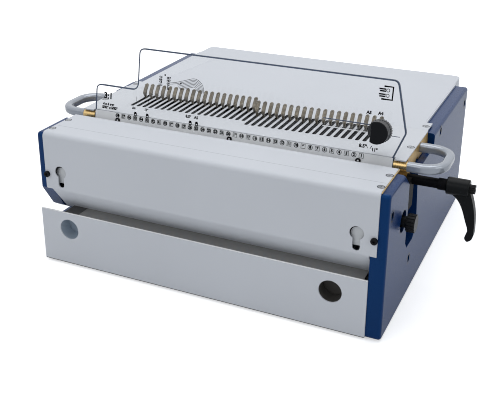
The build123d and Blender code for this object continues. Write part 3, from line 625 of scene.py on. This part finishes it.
def trimBars(name, look, body="housing"):
    bars = bmesh.new()
    for x0, x1, y0, y1, z0, z1 in look["bars"]:
        outline = ((x0, y0), (x1, y0), (x1, y1), (x0, y1))
        under, over = ([bars.verts.new(mm(x, y, z)) for x, y in outline] for z in (z0, z1))
        bars.faces.new(under[::-1])
        bars.faces.new(over)
        wall(bars, under, over)
    material = materials[look["slot"]]
    if "tone" in look:
        material = finish(name + "Tone", {"colour": look["tone"], "rough": 0.5, "spec": 0.2, "bump": 0.04})
    return newPiece(name, bars, material, body)


for trimName, trimLook in coverTrims.items():
    trimBars(trimName, trimLook)

# painted shadow at the inner edge of the two keyholes, deeper at the upper left
keyholeShadows = {
    "radius": 7.75,
    "y": -0.4,
    "z": 122.2,
    "turn": (55, 170),  # degrees where it starts, and its sweep
    "least": 0.15,
    "depths": [(-182.2, 2.2136), (182.2, 1.2042)],  # x of the hole, depth of its dark edge
    "look": {"colour": (0.012, 0.013, 0.015), "rough": 0.6, "spec": 0.1, "bump": 0.03},
}


def keyholeShades(look):
    shades = bmesh.new()
    steps = 18
    start, sweep = look["turn"]
    for x, depth in look["depths"]:
        outer, inner = [], []
        for n in range(steps + 1):
            turn = math.radians(start + sweep * n / steps)
            dark = look["least"] + depth * math.sin(math.pi * n / steps) ** 0.6
            for row, reach in ((outer, look["radius"]), (inner, look["radius"] - dark)):
                spot = mm(x + reach * math.cos(turn), look["y"], look["z"] + reach * math.sin(turn))
                row.append(shades.verts.new(spot))
        for n in range(steps):
            shades.faces.new((outer[n], outer[n + 1], inner[n + 1], inner[n]))
    return newPiece("keyholeShades", shades, finish("keyholeShade", look["look"]), "housing")


keyholeShades(keyholeShadows)

# painted shade in the gap, the bracket, a painted highlight along the top edge and a painted contact shadow
# at the foot of the drawer front
drawerTrims = {
    "drawerGapShade": {
        "slot": "zinc_sheet",
        "tone": (0.23, 0.228, 0.222),
        "bars": [(-163, 192, 0.0, 22, 68.6, 69.2)],
    },
    "drawerBracket": {
        "slot": "dark_bracket",
        "tone": (0.07, 0.07, 0.07),
        "bars": [(-183, -163, 0.0, 22, 68.6, 69.2)],
    },
    "drawerTopHighlight": {
        "slot": "grey_cover",
        "tone": (0.96, 0.97, 0.98),
        "bars": [(-214.6, 196.6, -1.62, -0.15, 69.45, 70.1)],
    },
    "drawerFootShadow": {
        "slot": "grey_cover",
        "tone": (0.16, 0.16, 0.155),
        "bars": [(-214.6, 196.6, -1.6, -1.4, 1.0, 1.7)],
    },
}
for trimName, trimLook in drawerTrims.items():
    trimBars(trimName, trimLook, "chip_drawer")

# pale heads of the three screws at the foot of the plate, painted light
plateHeads = {"x": (-155.8, -2.2, 153.7), "z": 164.7, "width": 2.1, "lift": 1.4}


def paleHeads(look):
    heads = PlateInk(look["lift"])
    for x in look["x"]:
        heads.ring(x, look["z"], look["width"] / 2, look["width"])
    return heads.finish("plateScrewHeads", palePaintedLight, "bright_screw")


paleHeads(plateHeads)

# cups behind the two finger holes of the drawer front, painted light in the left one and painted shade in the
# right one
holeCups = {
    "leftHoleCup": {"x": -176, "z": 48.0, "tone": (0.42, 0.485, 0.56)},
    "rightHoleCup": {"x": 157, "z": 47.5, "tone": (0.085, 0.08, 0.075)},
}
cupShape = {"radius": 13.5, "ends": (0.1, 17.0)}


def drawerCup(name, look):
    cup = bmesh.new()
    x, z, r = look["x"], look["z"], cupShape["radius"]
    front, back = (
        closedRow(cup, 40, lambda turn: mm(x + r * math.cos(turn), y, z + r * math.sin(turn)))
        for y in cupShape["ends"]
    )
    wall(cup, back, front)
    cup.faces.new(back)
    cupLightAndShade = finish(name + "Tone", {"colour": look["tone"], "rough": 0.45, "spec": 0.3, "bump": 0.05})
    return newPiece(name, cup, cupLightAndShade, "chip_drawer")


for cupName, cupLook in holeCups.items():
    drawerCup(cupName, cupLook)

# dark sleeve on the shaft between the margin knob and the frame, painted shade
knobShadeSleeve = {"y": 61.5, "z": 113.5, "radius": 6.4, "from": 199.5, "to": 218.6}


def sleeve(look):
    tube = bmesh.new()
    y, z, r = look["y"], look["z"], look["radius"]
    near, far = (
        closedRow(tube, 32, lambda turn: mm(x, y + r * math.cos(turn), z + r * math.sin(turn)))
        for x in (look["from"], look["to"])
    )
    wall(tube, near, far)
    tube.faces.new(near[::-1])
    tube.faces.new(far)
    return newPiece("knobShadeSleeve", tube, materials["knob_black"], "knob")


sleeve(knobShadeSleeve)

# painted shade round the oblong slots of the side frames
frameSlots = {
    "centres": [(12.5, 141.4), (103.3, 48.2), (224, 160.5), (375, 150)],
    "straight": 1.3,
    "radii": (4.1, 6.0),
    "sides": (-214.05, 214.05),
    "look": {"colour": (0.004, 0.010, 0.030), "rough": 0.3, "spec": 0.4, "bump": 0.03},
}


def slotRings(look):
    rings = bmesh.new()
    steps = 32
    for x in look["sides"]:
        for y, z in look["centres"]:
            rows = []
            for radius in look["radii"]:
                row = []
                for n in range(steps):
                    turn = (n + 0.5) * math.tau / steps
                    rise = math.copysign(look["straight"], math.sin(turn)) + radius * math.sin(turn)
                    row.append(rings.verts.new(mm(x, y + radius * math.cos(turn), z + rise)))
                rows.append(row)
            inner, outer = rows
            wall(rings, outer, inner)
    return newPiece("frameSlotShades", rings, finish("slotShade", look["look"]), "housing")


slotRings(frameSlots)

# painted shade of a shallow press line along the top of the front cover
coverCrease = {"x": (-200, 202), "y": 24.6, "width": 0.55, "top": 170.53, "tone": (0.36, 0.38, 0.41)}


def creaseLine(look):
    crease = bmesh.new()
    (x0, x1), y, half = look["x"], look["y"], look["width"] / 2
    outline = ((x0, y - half), (x1, y - half), (x1, y + half), (x0, y + half))
    crease.faces.new([crease.verts.new(mm(*spot, look["top"])) for spot in outline])
    tone = finish("creaseShade", {"colour": look["tone"], "rough": 0.6, "spec": 0.2, "bump": 0.03})
    return newPiece("coverCrease", crease, tone, "housing")


creaseLine(coverCrease)

# painted shade in the recesses round the countersunk screws; x, y, z of their middles
recessShadeLook = {"colour": (0.022, 0.026, 0.034), "rough": 0.5, "spec": 0.2, "bump": 0.05}
recessShadeMaterial = finish("recessShade", recessShadeLook)
screwRings = {
    "housing": [
        (-200, 14, 170.5), (-200, 45.5, 170.5), (200, 14, 170.5),
        (200, 45.5, 170.5), (-200, 204, 171.5), (200, 204, 171.5),
    ],
    "die": [(-200.8, 129, 172.0), (200.8, 129, 172.0)],
    "radii": (3.35, 4.2),
}


def recessRings(body, look):
    rings = bmesh.new()
    for x, y, z in look[body]:
        inner, outer = (
            closedRow(rings, 24, lambda turn: mm(x + r * math.cos(turn), y + r * math.sin(turn), z + 0.04))
            for r in look["radii"]
        )
        wall(rings, outer, inner)
    return newPiece(body + "ScrewRings", rings, recessShadeMaterial, body)


recessRings("housing", screwRings)
recessRings("die", screwRings)
print("covers, frames and drawer trimmed")

# side-stop dial: toothed wheel with a D-shaped thumb piece
dialLook = {
    "x": 175.0,
    "z": 199.5,
    "radius": 13.0,
    "flat": 6.6,
    "teeth": 30,
    "tooth": 0.55,
    "shoulder": 0.9,
    "inset": 0.7,
    "chamfer": 0.7,
    "lifts": (0.4, 6.6, 7.0, 18.2, 19.0),
    # a lighter black for the wheel's sides, a painted sheen
    "band": {"colour": (0.028, 0.030, 0.035), "rough": 0.42, "spec": 0.3, "bump": 0.08},
}


def sideStopDial(look):
    wheel = bmesh.new()
    rings = []
    steps = look["teeth"] * 4
    low, edge, step, high, top = look["lifts"]

    def ring(reach, lift):
        row = []
        for n in range(steps):
            turn = math.tau * n / steps
            r = reach(n, turn)
            across, up = r * math.cos(turn), r * math.sin(turn) * math.cos(plateLean)
            row.append(wheel.verts.new(onPlate(look["x"] + across, look["z"] + up, lift)))
        rings.append(row)

    def tooth(n, turn):
        return look["radius"] - (look["tooth"] if n % 4 < 2 else 0)

    def thumb(n, turn, shrink=0.0):
        r = look["radius"] - look["inset"] - shrink
        flat = look["flat"] - shrink
        return min(r, flat / -math.cos(turn)) if math.cos(turn) < -0.01 else r

    ring(tooth, low)
    ring(tooth, edge)
    ring(lambda n, turn: look["radius"] - look["shoulder"], step)
    ring(thumb, step)
    ring(thumb, high)
    ring(lambda n, turn: thumb(n, turn, look["chamfer"]), top)
    for under, over in zip(rings, rings[1:]):
        wall(wheel, under, over)
    wheel.faces.new(rings[-1])
    wheel.faces.new(rings[0][::-1])
    wheel.faces.ensure_lookup_table()
    # the sides and the shoulder take the second look, a painted sheen, the chamfer and both ends the first
    for face in wheel.faces[: steps * (len(rings) - 2)]:
        face.material_index = 1
    dial = newPiece("sideStopWheel", wheel, materials["black_plastic"], "side_stop")
    dial.data.materials.append(finish("dialSheen", look["band"]))
    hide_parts("side_stop_dial")
    return dial


sideStopDial(dialLook)

# edges of the clear stop rail behind the plate, drawn as painted shade (dark) and painted highlight (pale):
# ends (x, z) and width of each line
railLook = {
    "lift": -3.2,
    "dark": [((108, 203.5), (171, 203.5), 1.1), ((183, 194.8), (195.4, 194.8), 0.7)],
    "pale": [((108, 194.8), (170, 194.8), 0.9)],
}


def railEdges(look):
    for name, material in (("dark", rimShadeMaterial), ("pale", palePaintedLight)):
        edges = PlateInk(look["lift"])
        for start, stop, width in look[name]:
            edges.stroke([start, stop], width)
        edges.finish("railEdgeShading" + name.capitalize(), material, "clear_acrylic")


railEdges(railLook)
print("dial and rail edges made")

# pale paper floor that shows white around the object and keeps its shadow
floorLook = {
    "size": 9.0,
    "colour": (0.86, 0.865, 0.87),
    "seenColour": (0.95, 0.955, 0.96),
    "seenLift": 0.5,
}


def seenRays(tree, links, kinds=("Is Glossy Ray", "Is Transmission Ray")):
    # rays that come straight, mirrored or through clear plastic from the eye
    ray = tree.new("ShaderNodeLightPath")
    last = ray.outputs["Is Camera Ray"]
    for kind in kinds:
        both = tree.new("ShaderNodeMath")
        both.operation = "MAXIMUM"
        links.new(last, both.inputs[0])
        links.new(ray.outputs[kind], both.inputs[1])
        last = both.outputs["Value"]
    return last


def paleFloor(look):
    half = look["size"] / 2
    mesh = bpy.data.meshes.new("floor")
    corners = [(-half, -half, 0), (half, -half, 0), (half, half, 0), (-half, half, 0)]
    mesh.from_pydata(corners, [], [(0, 1, 2, 3)])
    floor = bpy.data.objects.new("floor", mesh)
    bpy.context.collection.objects.link(floor)
    material, tree, links = newMaterial("floorPaper")
    paper = tree["Principled BSDF"]
    paper.inputs["Base Color"].default_value = (*look["colour"], 1)
    paper.inputs["Roughness"].default_value = 0.9
    bright = addNode(tree, "ShaderNodeBsdfDiffuse", Color=(*look["seenColour"], 1))
    lift = addNode(tree, "ShaderNodeEmission", Color=(1, 1, 1, 1))
    share = tree.new("ShaderNodeMath")
    share.operation = "MULTIPLY"
    share.inputs[1].default_value = look["seenLift"]
    links.new(seenRays(tree, links, ("Is Transmission Ray",)), share.inputs[0])
    links.new(share.outputs["Value"], lift.inputs["Strength"])
    both = tree.new("ShaderNodeAddShader")
    links.new(bright.outputs["BSDF"], both.inputs[0])
    links.new(lift.outputs["Emission"], both.inputs[1])
    pick = tree.new("ShaderNodeMixShader")
    links.new(seenRays(tree, links), pick.inputs["Fac"])
    links.new(paper.outputs["BSDF"], pick.inputs[1])
    links.new(both.outputs["Shader"], pick.inputs[2])
    links.new(pick.outputs["Shader"], tree["Material Output"].inputs["Surface"])
    mesh.materials.append(material)
    return floor


paleFloor(floorLook)

softLights = {
    # place and aim in metres, size of the box, watts
    "topSoftbox": ((0.0, 0.25, 1.9), (0, 0, 0.1), (1.7, 1.7), 19),
    "frontSoftbox": ((-0.7, -1.8, 1.5), (0, -0.1, 0.1), (1.5, 1.0), 6),
    "sideSoftbox": ((1.9, -0.5, 1.1), (0, 0, 0.1), (1.0, 1.0), 4),
}


def softLight(name, place, aim, size, power):
    data = bpy.data.lights.new(name, "AREA")
    data.shape = "RECTANGLE"
    data.size, data.size_y = size
    data.energy = power
    lamp = bpy.data.objects.new(name, data)
    lamp.location = place
    lamp.rotation_euler = (Vector(aim) - Vector(place)).to_track_quat("-Z", "Y").to_euler()
    bpy.context.collection.objects.link(lamp)
    return lamp


for lampName, lampLook in softLights.items():
    softLight(lampName, *lampLook)

roomLook = {"glow": (0.93, 0.96, 1.0), "strength": 0.45}


def whiteRoom(look):
    world = bpy.data.worlds.new("room")
    bpy.context.scene.world = world
    world.use_nodes = True
    tree, links = world.node_tree.nodes, world.node_tree.links
    tree.clear()
    plain = addNode(tree, "ShaderNodeBackground", Color=(1, 1, 1, 1), Strength=1.0)
    glow = addNode(tree, "ShaderNodeBackground", Color=(*look["glow"], 1), Strength=look["strength"])
    pick = tree.new("ShaderNodeMixShader")
    out = tree.new("ShaderNodeOutputWorld")
    links.new(seenRays(tree, links), pick.inputs["Fac"])
    links.new(glow.outputs["Background"], pick.inputs[1])
    links.new(plain.outputs["Background"], pick.inputs[2])
    links.new(pick.outputs["Shader"], out.inputs["Surface"])


whiteRoom(roomLook)
print("floor, lamps and room set")

# the photograph's viewpoint: place in mm of the drawing frame, turns in degrees, lens in mm
viewpoint = {
    "place": (393.3, -742.2, 516.9),
    "yaw": 25.83,
    "pitch": 21.80,
    "roll": -0.30,
    "lens": 60.6,
    "shift": (0.05, -0.10),
}


def photoCamera(look):
    yaw, pitch, roll = (math.radians(look[k]) for k in ("yaw", "pitch", "roll"))
    ahead = Vector((-math.sin(yaw) * math.cos(pitch), math.cos(yaw) * math.cos(pitch), -math.sin(pitch)))
    right = Vector((math.cos(yaw), math.sin(yaw), 0))
    up = right.cross(ahead)
    rightRolled = right * math.cos(roll) + up * math.sin(roll)
    upRolled = up * math.cos(roll) - right * math.sin(roll)
    turned = Matrix((rightRolled, upRolled, -ahead)).transposed().to_4x4()
    data = bpy.data.cameras.new("photoCamera")
    data.sensor_width = 36
    data.lens = look["lens"]
    data.shift_x, data.shift_y = look["shift"]
    camera = bpy.data.objects.new("photoCamera", data)
    camera.matrix_world = Matrix.Translation(mm(*look["place"])) @ turned
    bpy.context.collection.objects.link(camera)
    bpy.context.scene.camera = camera
    return camera


photoCamera(viewpoint)
bpy.context.scene.view_settings.view_transform = "Standard"
bpy.context.scene.cycles.filter_width = 1.0

print("scene ready")
